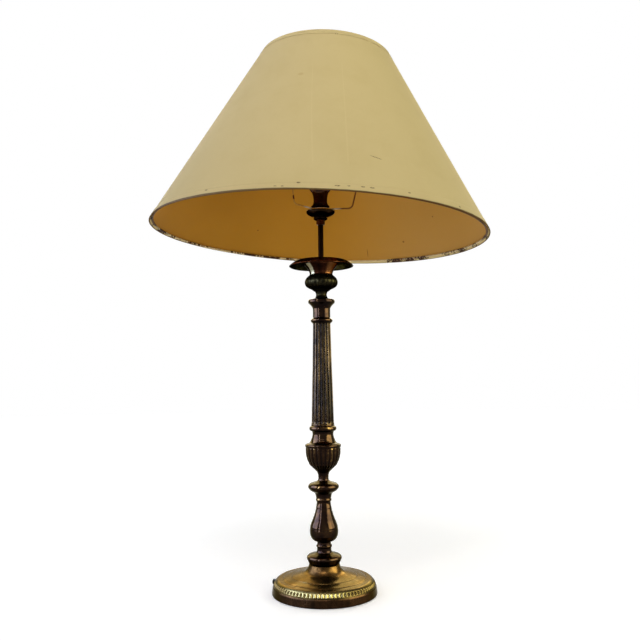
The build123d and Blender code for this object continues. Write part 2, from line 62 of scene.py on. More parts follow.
def wide(node):
    """Greatest radius of a turned node, in millimetres."""
    return (high(node).x - low(node).x) / 2


def tall(node):
    return high(node).z - low(node).z


TUBE_RADIUS = wide("lamp_tube")
BORE_RADIUS = TUBE_RADIUS + 0.2
CANDLE_RADIUS = 11.0  # mm, of the cup's socket
CUP_FLOOR = 4.0  # mm from the cup's foot up to its socket


# ---------------------------------------------------------------- turned pieces
SAMPLE = 0.4  # mm between points along an outline
HIDDEN_SAMPLE = 4.0  # mm, along the outlines inside
SEGMENTS = 240
CORNER_PASSES = 2  # how many times an outline's corners are worn round
RIDGE_GAIN = 2.2  # how soon a bend in an outline counts as a full ridge


def sampled(points, step):
    """Points along edges of (radius, height, swell). A swell bows the edge outward."""
    out = [np.array(points[0][:2], float)]
    for start, end in zip(points, points[1:]):
        a, b = np.array(start[:2], float), np.array(end[:2], float)
        swell = end[2] if len(end) > 2 else 0.0
        chord = float(np.linalg.norm(b - a))
        if chord < 1e-6:
            continue
        normal = np.array([b[1] - a[1], a[0] - b[0]]) / chord
        count = max(1, round(chord / step))
        for k in range(1, count + 1):
            t = k / count
            bow = 0.0
            if swell:
                radius = (chord**2 / 4 + swell**2) / (2 * abs(swell))
                bow = math.sqrt(max(radius**2 - (chord * (t - 0.5)) ** 2, 0.0)) - (radius - abs(swell))
                bow = math.copysign(bow, swell)
            out.append(a + (b - a) * t + normal * bow)
    return np.array(out)


def softened(line, passes):
    """The line with its corners worn round; its ends stay."""
    line = line.copy()
    for _ in range(passes):
        line[1:-1] = (line[:-2] + 2 * line[1:-1] + line[2:]) / 4
    return line


def normals_of(line):
    along = np.gradient(line, axis=0)
    out = np.stack([along[:, 1], -along[:, 0]], 1)
    return out / np.maximum(np.linalg.norm(out, axis=1, keepdims=True), 1e-9)


def bend_of(line, reach=4):
    """How convex the line is at each point: +1 on a sharp ridge, -1 in a sharp groove."""
    along = np.gradient(line, axis=0)
    angle = np.unwrap(np.arctan2(along[:, 1], along[:, 0]))
    turn = np.gradient(angle)
    window = np.hanning(2 * reach + 3)[1:-1]
    turn = np.convolve(np.pad(turn, reach, mode="edge"), window / window.sum(), "valid")
    return np.clip(turn * RIDGE_GAIN, -1.0, 1.0)


def mesh_object(name, verts, faces, materials, face_slots=None, wear_and_shade=None):
    mesh = bpy.data.meshes.new(name)
    mesh.from_pydata(verts.tolist() if hasattr(verts, "tolist") else verts, [], faces)
    for material in materials:
        mesh.materials.append(material)
    if face_slots is not None:
        mesh.polygons.foreach_set("material_index", face_slots)
    if wear_and_shade is not None:
        attribute = mesh.attributes.new("wear_and_shade", "FLOAT", "POINT")
        attribute.data.foreach_set("value", np.asarray(wear_and_shade, np.float32))
    mesh.polygons.foreach_set("use_smooth", [True] * len(mesh.polygons))
    mesh.update()
    made = bpy.data.objects.new(name, mesh)
    bpy.context.scene.collection.objects.link(made)
    return made


def lathe(name, outside, inside, level, material, relief=None, segments=SEGMENTS, lining=None):
    """A closed turned piece. relief(angle, line) gives a height in mm for each outline point.

    Its "wear" attribute is high on rubbed ridges and low in grooves; it also paints light on tops and shade
    underneath.
    """
    outer = softened(sampled(outside, SAMPLE), CORNER_PASSES)
    inner = sampled(inside, HIDDEN_SAMPLE)
    angles = np.linspace(0, 2 * math.pi, segments, endpoint=False)
    normal = normals_of(outer)
    bend = bend_of(outer)
    lift = relief(angles[:, None], outer) if relief else np.zeros((segments, len(outer)))
    radius = outer[None, :, 0] + normal[None, :, 0] * lift
    height = outer[None, :, 1] + normal[None, :, 1] * lift
    radius = np.concatenate([radius, np.repeat(inner[None, :, 0], segments, 0)], 1)
    height = np.concatenate([height, np.repeat(inner[None, :, 1], segments, 0)], 1)
    x = radius * np.cos(angles)[:, None]
    y = radius * np.sin(angles)[:, None]
    verts = np.stack([x, y, height + level], 2).reshape(-1, 3) * MM
    rows = radius.shape[1]
    faces, slots = [], []
    for i in range(segments):
        a, b = i * rows, ((i + 1) % segments) * rows
        for j in range(rows):
            k = (j + 1) % rows
            faces.append((a + j, b + j, b + k, a + k))
            slots.append(1 if lining and j >= len(outer) - 1 else 0)
    depth = float(np.abs(lift).max()) or 1.0
    # painted shade: faces turned down are darkened, and faces turned up are lightened a little
    lit_tops_shaded_undersides = np.where(normal[:, 1] < 0, 0.95 * normal[:, 1], 0.25 * normal[:, 1])
    wear_and_shade = np.repeat((0.6 * bend + lit_tops_shaded_undersides)[None, :], segments, 0)
    if relief:
        wear_and_shade = wear_and_shade + (lift / depth + 0.5) * (lift < -1e-6) * 1.1
    wear_and_shade = np.concatenate([wear_and_shade, np.full((segments, len(inner)), -0.6)], 1)
    materials = [material, lining] if lining else [material]
    piece = mesh_object(name, verts, faces, materials, slots, wear_and_shade.reshape(-1))
    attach(piece, "lamp_body")
    return piece


def window(value, start, end, ease):
    """1 between start and end, easing to 0 outside over ease."""
    up = np.clip((value - start) / ease, 0, 1)
    down = np.clip((end - value) / ease, 0, 1)
    return np.sqrt(up * (2 - up)) * np.sqrt(down * (2 - down))


def reeds(count, depth, start, end, ease, sharp=0.55, phase=0.0):
    """Convex lobes side by side, parted by sharp grooves, between two heights."""

    def relief(angle, line):
        lobe = np.abs(np.cos(count * angle / 2 + phase)) ** sharp
        return depth * (lobe - 1.0) * window(line[None, :, 1], start, end, ease)

    return relief


def flutes(count, depth, start, end, ease, share=0.72):
    """Concave channels with flat ribs between them."""

    def relief(angle, line):
        across = (angle * count / (2 * math.pi)) % 1.0 - 0.5
        hollow = np.clip(1 - (across / (share / 2)) ** 2, 0, 1) ** 0.6
        return -depth * hollow * window(line[None, :, 1], start, end, ease)

    return relief


def beads(count, depth, start, end):
    def relief(angle, line):
        bead = np.abs(np.cos(count * angle / 2)) ** 0.7
        return depth * (bead - 1.0) * window(line[None, :, 1], start, end, (end - start) / 2)

    return relief


def both(*reliefs):
    return lambda angle, line: sum(relief(angle, line) for relief in reliefs)


# ---------------------------------------------------------------- materials
def ink(r, g, b):
    """Linear colour from 0-255 display values."""
    def channel(v):
        v /= 255
        return v / 12.92 if v <= 0.04045 else ((v + 0.055) / 1.055) ** 2.4
    return (channel(r), channel(g), channel(b), 1.0)


class Finish:
    """A small helper that wires one procedural material."""

    def __init__(self, name):
        self.material = bpy.data.materials.new(name)
        self.material.use_nodes = True
        self.tree = self.material.node_tree
        self.shader = self.tree.nodes["Principled BSDF"]
        self.place = self.add("ShaderNodeTexCoord").outputs["Object"]

    def add(self, kind, **settings):
        node = self.tree.nodes.new(kind)
        for key, value in settings.items():
            setattr(node, key, value)
        return node

    def link(self, source, socket):
        self.tree.links.new(source, socket)

    def feed(self, node, **inputs):
        for key, value in inputs.items():
            socket = node.inputs[key.replace("_", " ")]
            if isinstance(value, bpy.types.NodeSocket):
                self.link(value, socket)
            else:
                socket.default_value = value
        return node

    def set(self, **inputs):
        self.feed(self.shader, **inputs)
        return self

    def stretched(self, scale):
        mapping = self.add("ShaderNodeMapping")
        mapping.inputs["Scale"].default_value = scale
        self.link(self.place, mapping.inputs["Vector"])
        return mapping.outputs["Vector"]

    def noise(self, scale, detail=4.0, rough=0.55, at=None, distortion=0.0):
        node = self.add("ShaderNodeTexNoise")
        self.link(at or self.place, node.inputs["Vector"])
        self.feed(node, Scale=scale, Detail=detail, Roughness=rough, Distortion=distortion)
        return node.outputs["Fac"]

    def specks(self, scale, at=None):
        node = self.add("ShaderNodeTexVoronoi")
        self.link(at or self.place, node.inputs["Vector"])
        self.feed(node, Scale=scale)
        return node.outputs["Distance"]

    def ramp(self, value, *stops):
        """stops are (position, colour or grey)."""
        node = self.add("ShaderNodeValToRGB")
        self.link(value, node.inputs["Fac"])
        points = node.color_ramp.elements
        while len(points) < len(stops):
            points.new(0.5)
        for point, (position, colour) in zip(points, stops):
            point.position = position
            point.color = colour if isinstance(colour, tuple) else (colour, colour, colour, 1.0)
        return node.outputs["Color"]

    def sum(self, a, b, how="ADD", clamp=False):
        node = self.add("ShaderNodeMath", operation=how, use_clamp=clamp)
        for socket, value in zip(node.inputs, (a, b)):
            if isinstance(value, bpy.types.NodeSocket):
                self.link(value, socket)
            else:
                socket.default_value = value
        return node.outputs[0]

    def mix(self, share, a, b, how="MIX"):
        node = self.add("ShaderNodeMix", data_type="RGBA", blend_type=how)
        for socket, value in zip((node.inputs[0], node.inputs[6], node.inputs[7]), (share, a, b)):
            if isinstance(value, bpy.types.NodeSocket):
                self.link(value, socket)
            else:
                socket.default_value = value
        return node.outputs[2]

    def layer(self, base, colour, mask, share=1.0):
        """The base with a colour laid over it, where the mask is and as thick as share."""
        return self.mix(self.sum(mask, share, "MULTIPLY"), base, colour)

    def overlap(self, *masks):
        """How much of every mask is there."""
        result = masks[0]
        for mask in masks[1:]:
            result = self.sum(result, mask, "MULTIPLY")
        return result

    def size(self, value):
        return self.sum(value, 0.0, "ABSOLUTE")

    def attribute(self, name):
        return self.add("ShaderNodeAttribute", attribute_name=name).outputs["Fac"]

    def rise(self, value, start, end, low=0.0, high=1.0):
        """Goes smoothly from low to high as the value goes from start to end."""
        node = self.add("ShaderNodeMapRange", interpolation_type="SMOOTHSTEP")
        self.feed(node, Value=value, From_Min=start, From_Max=end, To_Min=low, To_Max=high)
        return node.outputs["Result"]

    def vector(self, how, a, b):
        node = self.add("ShaderNodeVectorMath", operation=how)
        for socket, value in zip(node.inputs, (a, b)):
            if isinstance(value, bpy.types.NodeSocket):
                self.link(value, socket)
            elif value is not None:
                socket.default_value = value
        return node

    def total(self, *parts):
        """parts are (value, weight)."""
        result = 0.0
        for value, weight in parts:
            result = self.sum(self.sum(value, weight, "MULTIPLY"), result)
        return result

    def height(self):
        node = self.add("ShaderNodeSeparateXYZ")
        self.link(self.place, node.inputs[0])
        return node.outputs["Z"]

    def bump(self, *layers):
        """layers are (height, strength, distance in m), from the coarsest."""
        normal = None
        for value, strength, distance in layers:
            node = self.add("ShaderNodeBump")
            self.feed(node, Height=value, Strength=strength, Distance=distance)
            if normal is not None:
                self.link(normal, node.inputs["Normal"])
            normal = node.outputs["Normal"]
        self.link(normal, self.shader.inputs["Normal"])
        return self


def turn_and_height(made, place):
    """Degrees round the upright axis from the front, positive to the right, and the height in m."""
    parts = made.add("ShaderNodeSeparateXYZ")
    made.link(place, parts.inputs[0])
    around = made.sum(parts.outputs["X"], made.sum(parts.outputs["Y"], -1.0, "MULTIPLY"), "ARCTAN2")
    return made.sum(around, 180 / math.pi, "MULTIPLY"), parts.outputs["Z"]


def turn_of(made):
    """Degrees round the stem from its front, positive to the right."""
    return turn_and_height(made, made.place)[0]


FILM_CONTRAST = 1.5


def aged_brass(
    name, dark, mid, warm, bright, rough=(0.07, 0.17), wear_and_shade=0.26, grain=1.0, stained=None, edge=0.62,
    coat=0.06, specks=0.15,
):
    """Old brass: brown tarnish in the hollows, a thin lacquer gone patchy, rubbed ridges, and painted shade
    on the undersides.

    rough is least and greatest, wear is how far the mesh's wear attribute (rubbed ridges, and painted shade
    underneath) shows, grain scales the bumps, stained(made, colour, film) lays more over the colour, and
    edge is the tint at a low angle.
    """
    made = Finish(name)
    cloud = made.noise(26, 5, 0.6, distortion=0.5)
    blotch = made.noise(120, 5, 0.62, distortion=0.3)
    fine = made.noise(560, 5, 0.65)
    runs = made.noise(64, 4, 0.6, at=made.stretched((1.0, 1.0, 0.22)))
    film = made.total((cloud, 0.36), (blotch, 0.24), (fine, 0.06), (runs, 0.34))
    tarnish = made.sum(made.sum(made.sum(film, -0.5), FILM_CONTRAST, "MULTIPLY"), 0.5)
    if wear_and_shade:
        tarnish = made.sum(tarnish, made.sum(made.attribute("wear_and_shade"), wear_and_shade, "MULTIPLY"))
    colour = made.ramp(tarnish, (0.28, dark), (0.46, mid), (0.64, warm), (0.86, bright))
    spots = made.ramp(made.specks(430), (0.0, 1.0), (0.14, 0.0))
    colour = made.layer(colour, dark, spots, specks)
    if stained:
        colour = stained(made, colour, film)
    made.set(Base_Color=colour, Metallic=1.0, Specular_Tint=(edge, edge * 0.95, edge * 0.8, 1.0))
    made.set(Coat_Weight=coat, Coat_Roughness=0.06)
    made.set(Roughness=made.ramp(film, (0.42, rough[1]), (0.58, rough[0])))
    turning = made.noise(900, 2, 0.5, at=made.stretched((0.05, 0.05, 1.0)))
    made.bump((blotch, 0.03 * grain, 0.0012), (fine, 0.03 * grain, 0.0004), (turning, 0.02 * grain, 0.0001))
    return made.material


BAND_TOP = 0.0128  # m; the foot's dark band ends here
BORDER_TOP = 0.0212  # m; the petals lie between the band and here
NECK_START = 0.030  # m; above this the foot is as dark as the stem


def foot_shade_and_petal_highlight(made, colour, film):
    """Painted shade: the foot's band and neck are painted dark brown, and a painted highlight lightens the
    petals round the front.
    """
    height = made.height()
    dull = made.rise(made.noise(11, 4, 0.6), 0.48, 0.62)
    colour = made.layer(colour, ink(84, 72, 44), dull, 0.6)
    # painted shade on the neck
    neck = made.ramp(film, (0.42, ink(24, 13, 6)), (0.58, ink(66, 46, 22)))
    colour = made.mix(made.rise(height, NECK_START, NECK_START + 0.004, 0.0, 0.8), colour, neck)
    border = made.sum(made.rise(height, BORDER_TOP, BORDER_TOP - MM), 0.85, "MULTIPLY")
    colour = made.mix(border, colour, ink(40, 32, 15))
    # painted highlight: only the petals round the front are lightened
    front = made.rise(made.size(made.sum(turn_of(made), 11.0)), 46.0, 20.0)
    petals = made.overlap(made.rise(made.attribute("wear_and_shade"), 0.08, 0.25), border, front)
    colour = made.mix(petals, colour, ink(98, 88, 56))
    # painted shade on the band
    dark = made.ramp(film, (0.40, ink(16, 9, 5)), (0.60, ink(46, 30, 17)))
    return made.mix(made.rise(height, BAND_TOP, BAND_TOP - 0.0012), colour, dark)


def painted_cup_glints(made, colour, film):
    """A painted highlight in pale metal on the cup's left, and a painted copper reflection on its right."""
    turn = turn_of(made)
    ragged = made.sum(turn, made.sum(made.sum(film, -0.5), 40.0, "MULTIPLY"))
    left = made.overlap(made.rise(ragged, -66.0, -58.0), made.rise(ragged, -36.0, -44.0))
    right = made.overlap(made.rise(ragged, 20.0, 34.0), made.rise(ragged, 76.0, 62.0))
    # painted highlight on the left, painted copper reflection on the right
    colour = made.layer(colour, ink(136, 128, 100), left, 0.85)
    return made.layer(colour, ink(98, 62, 34), right, 0.6)


def green_below(made, colour, film):
    """Verdigris and soot lie mottled over the metal."""
    patches = made.rise(made.noise(210, 4, 0.7), 0.47, 0.58)
    return made.layer(colour, ink(14, 13, 8), patches, 0.85)


def painted_lip_highlight(made, colour, film):
    """A painted highlight: the dish's lip is painted pale."""
    lip = (high("shade_dish").z - 1.5) * MM
    return made.mix(made.rise(made.height(), lip, lip + 0.0004), colour, ink(206, 196, 172))


foot_brass = aged_brass(
    "foot_brass", ink(34, 21, 9), ink(66, 46, 22), ink(86, 62, 31), ink(142, 116, 70), (0.20, 0.34),
    stained=foot_shade_and_petal_highlight, coat=0.0,
)
stem_brass = aged_brass("stem_brass", ink(10, 3, 2), ink(20, 9, 5), ink(42, 27, 13), ink(140, 114, 66))
column_brass = aged_brass(
    "column_brass", ink(7, 4, 2), ink(17, 10, 6), ink(54, 41, 25), ink(120, 102, 70), (0.10, 0.17),
    wear_and_shade=0.30, grain=0.15, specks=0.0,
)
cup_brass = aged_brass(
    "cup_brass", ink(14, 5, 3), ink(36, 16, 8), ink(60, 32, 16), ink(110, 76, 42), (0.26, 0.42),
    stained=painted_cup_glints, edge=0.3, coat=0.0,
)
knop_brass = aged_brass(
    "knop_brass", ink(10, 8, 5), ink(24, 20, 12), ink(46, 42, 26), ink(90, 80, 52), (0.30, 0.46), wear_and_shade=0.10,
    grain=6.0, stained=green_below, edge=0.25, coat=0.0,
)
pan_brass = aged_brass(
    "pan_brass", ink(20, 8, 4), ink(52, 22, 8), ink(80, 40, 18), ink(130, 84, 46), (0.18, 0.35),
    edge=0.2, coat=0.05,
)
pan_lining = aged_brass(
    "pan_lining", ink(10, 9, 5), ink(38, 36, 20), ink(74, 70, 42), ink(110, 102, 66), (0.3, 0.5), wear_and_shade=0.0,
    grain=4.0, stained=green_below, edge=0.12, coat=0.0,
)
tube_brass = aged_brass(
    "tube_brass", ink(8, 3, 2), ink(16, 7, 4), ink(28, 14, 8), ink(56, 36, 22), (0.26, 0.42), wear_and_shade=0.0,
    edge=0.1, coat=0.0,
)
nut_brass = aged_brass(
    "nut_brass", ink(28, 10, 4), ink(66, 30, 12), ink(100, 56, 26), ink(150, 100, 56), (0.2, 0.36), wear_and_shade=0.0
)
holder_brass = aged_brass(
    "holder_brass", ink(16, 7, 3), ink(42, 22, 9), ink(72, 44, 20), ink(120, 84, 44), wear_and_shade=0.0,
    edge=0.3, coat=0.1,
)
dish_brass = aged_brass(
    "dish_brass", ink(9, 5, 3), ink(20, 12, 7), ink(40, 28, 16), ink(90, 72, 46), (0.16, 0.3), wear_and_shade=0.0,
    edge=0.2, stained=painted_lip_highlight, coat=0.0,
)


def paint_all():
    """Gives every CAD node that stays in view its material."""
    plain = {}

    def simple(name, colour, second, scale, rough, metal=0.0, bump=0.2, **more):
        made = Finish(name)
        grain = made.noise(scale, 5, 0.6)
        made.set(Base_Color=made.ramp(grain, (0.3, colour), (0.7, second)), Metallic=metal, **more)
        made.set(Roughness=made.ramp(made.noise(scale * 2.3, 3), (0.3, rough * 0.8), (0.7, rough * 1.2)))
        made.bump((grain, bump, 0.0005))
        plain[name] = made.material
        return made.material

    simple("felt", ink(44, 62, 46), ink(62, 84, 62), 900, 0.95, bump=0.8, Sheen_Weight=0.4)
    simple("cast_iron", ink(40, 38, 36), ink(62, 58, 54), 300, 0.7, 0.6, 0.6)
    simple("plated_steel", ink(150, 148, 140), ink(184, 182, 174), 500, 0.35, 1.0)
    simple("inlet_plastic", ink(26, 26, 24), ink(44, 46, 40), 240, 0.8, Specular_IOR_Level=0.03)
    simple("porcelain", ink(220, 214, 200), ink(236, 232, 222), 160, 0.2, bump=0.05, Coat_Weight=0.5)
    simple("contact_brass", ink(176, 140, 76), ink(206, 172, 104), 300, 0.32, 1.0)
    simple("solder", ink(150, 150, 150), ink(180, 180, 178), 600, 0.45, 1.0)
    simple("black_glass", ink(14, 14, 18), ink(24, 24, 30), 200, 0.12)
    simple("bulb_metal", ink(176, 176, 178), ink(204, 204, 206), 400, 0.34, 1.0)
    simple("pearl_glass", ink(236, 236, 230), ink(246, 246, 242), 300, 0.3, 0.0, 0.06,
           Subsurface_Weight=0.3)
    simple("clear_glass", ink(230, 236, 234), ink(240, 244, 242), 80, 0.05, Transmission_Weight=0.9)
    simple("tungsten", ink(96, 96, 98), ink(130, 130, 132), 700, 0.4, 1.0)
    plain["frame_wire"] = frame_wire()
    plain["tube_brass"], plain["holder_brass"] = tube_brass, holder_brass
    slots = {row["node"]: row["material_slot"] for row in frame["record"]["subparts"]}
    plain["foot_brass"], plain["stem_brass"] = foot_brass, stem_brass
    plain["pan_brass"] = pan_brass
    for name, node in nodes.items():
        material = nut_brass if name == "dish_nut" else plain.get(slots[name], tube_brass)
        node.data.materials.clear()
        node.data.materials.append(material)


# ---------------------------------------------------------------- foot
PETALS = 82
COLUMN_FLUTES = 16
URN_REEDS = 24
URN_BEADS = 84
KNOP_LOBES = 18
FOOT_WALL = 2.0
PAN_THICKNESS = 1.1
DISH_LIP = 0.8  # mm across
DISH_LIP_HEIGHT = 1.3


def make_foot():
    r, h = wide("base_foot"), high("base_foot").z
    start = low("base_foot").z
    outside = [
        (r - 0.3, start),
        (r, start + 0.8, 0.2),
        (0.984 * r, 0.27 * h),
        (0.976 * r, 0.285 * h),
        (0.972 * r, 0.298 * h),
        (0.868 * r, 0.524 * h, 1.9),
        (0.858 * r, 0.520 * h),
        (0.785 * r, 0.530 * h),
        (0.772 * r, 0.552 * h, 0.2),
        (0.620 * r, 0.600 * h, 0.3),
        (0.612 * r, 0.622 * h, 0.1),
        (0.447 * r, 0.705 * h, 0.1),
        (0.350 * r, 0.800 * h, -0.7),
        (0.292 * r, h, -0.7),
    ]
    wall = FOOT_WALL
    inside = [
        (BORE_RADIUS, h),
        (BORE_RADIUS, h - wall),
        (0.292 * r - wall, h - wall),
        (0.447 * r - wall, 0.705 * h - wall),
        (0.785 * r, 0.530 * h - wall),
        (0.868 * r - wall, 0.524 * h - wall),
        (0.96 * r - wall, 0.30 * h - wall),
        (r - wall - 0.2, start),
    ]
    petals = reeds(PETALS, 1.5, 0.345 * h, 0.455 * h, 0.06 * h, 1.4)
    foot = lathe("foot", outside, inside, 0.0, foot_brass, petals, segments=12 * PETALS)
    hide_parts("base_foot")


# ---------------------------------------------------------------- stem
def stem_piece(node, outside, relief=None, segments=SEGMENTS, material=None, inside=None):
    """outside is in shares of the node's greatest radius and its height."""
    r, h = wide(node), tall(node)
    scaled = [(point[0] * r, point[1] * h, *point[2:]) for point in outside]
    hollow = inside or [(BORE_RADIUS, h), (BORE_RADIUS, 0.0)]
    piece = lathe("turned_" + node, scaled, hollow, low(node).z, material or stem_brass, relief, segments)
    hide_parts(node)


def make_stem():
    stem_piece(
        "stem_collar",
        [
            (0.84, 0.0), (0.855, 0.03), (0.905, 0.10, -0.1), (0.94, 0.17), (0.985, 0.24, 0.1),
            (1.0, 0.31, 0.2), (0.985, 0.35, 0.1), (0.93, 0.395, 0.2), (0.83, 0.445, 0.3),
            (0.64, 0.485, 0.1), (0.46, 0.54, -0.2), (0.42, 0.60, -0.1), (0.405, 0.70, -0.15),
            (0.41, 0.76), (0.43, 0.78, 0.1), (0.45, 0.82, 0.25), (0.43, 0.87, 0.25), (0.395, 0.90),
            (0.385, 1.0),
        ],
    )
    stem_piece(
        "pear_baluster",
        [
            (0.49, 0.0), (0.55, 0.02, 0.1), (0.56, 0.03), (0.68, 0.035), (0.82, 0.068, 0.3),
            (0.92, 0.12, 0.35), (0.985, 0.18, 0.25), (1.0, 0.23, 0.1), (0.985, 0.31, 0.2),
            (0.93, 0.40, 0.25), (0.80, 0.505, 0.15), (0.715, 0.58), (0.645, 0.65, -0.15),
            (0.545, 0.79, -0.3), (0.49, 0.895, -0.1), (0.50, 0.92), (0.545, 0.94, 0.15),
            (0.545, 0.975, 0.3), (0.51, 0.99), (0.50, 1.0),
        ],
    )
    stem_piece(
        "spool",
        [
            (0.49, 0.0), (0.50, 0.06), (0.53, 0.17, -0.1), (0.65, 0.27, -0.3), (0.76, 0.315),
            (0.86, 0.36, 0.1), (0.91, 0.41, 0.15), (0.97, 0.455, 0.1), (1.0, 0.52, 0.15),
            (0.995, 0.57, 0.1), (0.93, 0.65, 0.15), (0.85, 0.70, 0.1), (0.63, 0.748, 0.15),
            (0.465, 0.79, 0.1), (0.365, 0.84, -0.15), (0.332, 0.92, -0.1), (0.33, 1.0),
        ],
    )
    h = tall("urn")
    stem_piece(
        "urn",
        [
            (0.29, 0.0), (0.285, 0.05), (0.31, 0.10), (0.345, 0.145, -0.1), (0.45, 0.205, -0.2),
            (0.55, 0.265, -0.1), (0.66, 0.325, 0.2), (0.80, 0.44, 0.8), (0.90, 0.57, 0.5),
            (0.945, 0.67, 0.2), (0.96, 0.80, 0.2), (0.962, 0.885, 0.1), (0.95, 0.90), (0.965, 0.91),
            (0.985, 0.925, 0.15), (0.97, 0.94), (0.985, 0.945), (1.0, 0.965, 0.25), (0.985, 0.985, 0.1),
            (0.96, 1.0),
        ],
        both(
            reeds(URN_REEDS, 1.25, 0.255 * h, 0.885 * h, 0.05 * h, 0.6),
            beads(URN_BEADS, 0.35, 0.905 * h, 0.95 * h),
        ),
        segments=6 * URN_BEADS,
    )
    stem_piece(
        "urn_shoulder",
        [
            (0.99, 0.0), (0.96, 0.03), (0.83, 0.05, 0.1), (0.81, 0.075), (0.75, 0.15, -0.1),
            (0.70, 0.25, -0.2), (0.65, 0.37, -0.2), (0.62, 0.50, -0.15), (0.635, 0.60, -0.1),
            (0.665, 0.655, -0.1), (0.69, 0.675), (0.71, 0.672), (0.79, 0.73, 0.35), (0.80, 0.825, 0.35),
            (0.75, 0.90, 0.4), (0.70, 0.925), (0.68, 0.95), (0.70, 0.975, 0.1), (0.68, 1.0),
        ],
    )
    h = tall("fluted_column")
    stem_piece(
        "fluted_column",
        [
            (1.0, 0.0), (1.0, 0.008), (0.985, 0.015, -0.1), (0.965, 0.03, -0.1), (0.945, 0.12),
            (0.92, 0.25), (0.885, 0.42), (0.845, 0.55), (0.775, 0.95), (0.77, 1.0),
        ],
        flutes(COLUMN_FLUTES, 1.7, 0.012 * h, 0.997 * h, 0.014 * h),
        segments=24 * COLUMN_FLUTES,
        material=column_brass,
    )
    stem_piece(
        "column_capital",
        [
            (0.68, 0.0), (0.72, 0.03), (0.80, 0.07, 0.2), (0.82, 0.12, 0.2), (0.80, 0.165, 0.2),
            (0.70, 0.205), (0.655, 0.22), (0.65, 0.42), (0.655, 0.60), (0.70, 0.66, -0.1),
            (0.80, 0.735, -0.15), (0.985, 0.83, -0.1), (1.0, 0.87, 0.1), (1.0, 0.94, 0.1),
            (0.975, 0.97, 0.1), (0.95, 0.975), (0.88, 0.985), (0.80, 1.0),
        ],
    )
    h = tall("candle_knop")
    stem_piece(
        "candle_knop",
        [
            (0.47, 0.0), (0.43, 0.03), (0.37, 0.07, -0.15), (0.32, 0.19, -0.3), (0.37, 0.30, -0.1),
            (0.42, 0.325), (0.47, 0.335, 0.1), (0.57, 0.395, -0.1), (0.68, 0.435), (0.82, 0.48, 0.1),
            (0.91, 0.525, 0.15), (0.98, 0.61, 0.2), (1.0, 0.715, 0.2), (0.97, 0.80, 0.2),
            (0.90, 0.885, 0.2), (0.77, 0.965, 0.2), (0.72, 0.98), (0.71, 1.0),
        ],
        both(
            reeds(KNOP_LOBES, 0.7, 0.44 * h, 0.955 * h, 0.07 * h, 0.5),
            reeds(KNOP_LOBES, 0.7, 0.325 * h, 0.425 * h, 0.04 * h, 0.7),
        ),
        segments=28 * KNOP_LOBES,
        material=knop_brass,
    )
    h = tall("candle_cup")
    stem_piece(
        "candle_cup",
        [
            (0.70, 0.0), (0.675, 0.03), (0.67, 0.10), (0.69, 0.22, -0.1), (0.75, 0.42, -0.2),
            (0.85, 0.64, -0.2), (0.95, 0.80, -0.1), (0.985, 0.86, 0.1), (1.0, 0.92, 0.15),
            (0.99, 0.99, 0.1), (0.97, 1.0),
        ],
        inside=[
            (CANDLE_RADIUS, h), (CANDLE_RADIUS, CUP_FLOOR), (BORE_RADIUS, CUP_FLOOR), (BORE_RADIUS, 0.0),
        ],
        material=cup_brass,
    )


# ---------------------------------------------------------------- drip pan
def make_pan():
    """The turned-down pan, thin and a little out of true."""
    top, edge = high("drip_pan").z, low("drip_pan").z
    r = wide("drip_pan") - 0.4
    outside = [
        (r, edge), (r + 0.35, edge + 0.5, 0.2), (r - 0.1, edge + 1.2, 0.2),
        (0.955 * r, edge + 2.6, 0.1), (0.90 * r, edge + 4.7, 0.25), (0.845 * r, edge + 6.5, 0.3),
        (0.79 * r, top - 0.1, 0.2), (0.60 * r, top), (BORE_RADIUS + 0.6, top),
    ]
    inside = [
        (BORE_RADIUS, top), (BORE_RADIUS, top - PAN_THICKNESS), (0.78 * r, top - PAN_THICKNESS),
        (0.835 * r, top - 2.0), (0.88 * r, edge + 3.7), (0.95 * r, edge + 1.2), (r - 1.0, edge),
    ]

    def dents(angle, line):
        sag = 0.22 * np.sin(3 * angle + 0.7) + 0.14 * np.sin(5 * angle + 2.1)
        return sag * np.clip((line[None, :, 0] / r - 0.8) * 5, 0, 1)

    pan = lathe("pan", outside, inside, 0.0, pan_brass, dents, lining=pan_lining)
    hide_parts("drip_pan")


def make_dish():
    """The shade's carrier, a thin turned dish on a short waisted neck."""
    r, h = wide("shade_dish"), tall("shade_dish")
    outside = [
        (0.36 * r, 0.0), (0.44 * r, 0.05 * h, 0.1), (0.50 * r, 0.15 * h, 0.2),
        (0.44 * r, 0.25 * h, 0.1), (0.42 * r, 0.32 * h), (0.60 * r, 0.43 * h, -0.1),
        (0.86 * r, 0.58 * h, 0.2), (0.985 * r, 0.76 * h, 0.2), (r, 0.90 * h, 0.1), (0.985 * r, h),
    ]
    lip, shelf = r - DISH_LIP, h - DISH_LIP_HEIGHT
    inside = [(lip, h), (lip, shelf), (BORE_RADIUS, shelf), (BORE_RADIUS, 0.0)]
    dish = lathe("dish", outside, inside, low("shade_dish").z, dish_brass)
    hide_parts("shade_dish")


# ---------------------------------------------------------------- shade
SHADE_TILT = math.radians(2.84)
PIVOT = Vector((0, 0, (low("spider_ring").z + tall("spider_ring") + 0.95) * MM))
LEAN = Matrix.Translation(PIVOT) @ Matrix.Rotation(SHADE_TILT, 4, "Y")
RIM_RADIUS = 250.0
TOP_RADIUS = 100.0
SHADE_HEIGHT = 270.0
RIM_LEVEL = -37.6
SKIN = 1.2  # mm of card
SHADE_COLUMNS = 360
TAPE_GAP = 0.02  # mm from the card to a tape
LOWER_TAPE = 10.0  # mm wide
UPPER_TAPE = 8.0
SADDLE = 1.6  # mm that the lower rim rises and dips
SADDLE_TURN = math.radians(-45)


def cone_radius(height):
    return RIM_RADIUS + (TOP_RADIUS - RIM_RADIUS) * (height - RIM_LEVEL) / SHADE_HEIGHT


def rim_warp(angle, height):
    """The card's slight saddle, in mm along its axis, greatest at the lower rim."""
    share = 1 - (height - RIM_LEVEL) / SHADE_HEIGHT
    return SADDLE * np.cos(2 * (angle - SADDLE_TURN)) * share**2


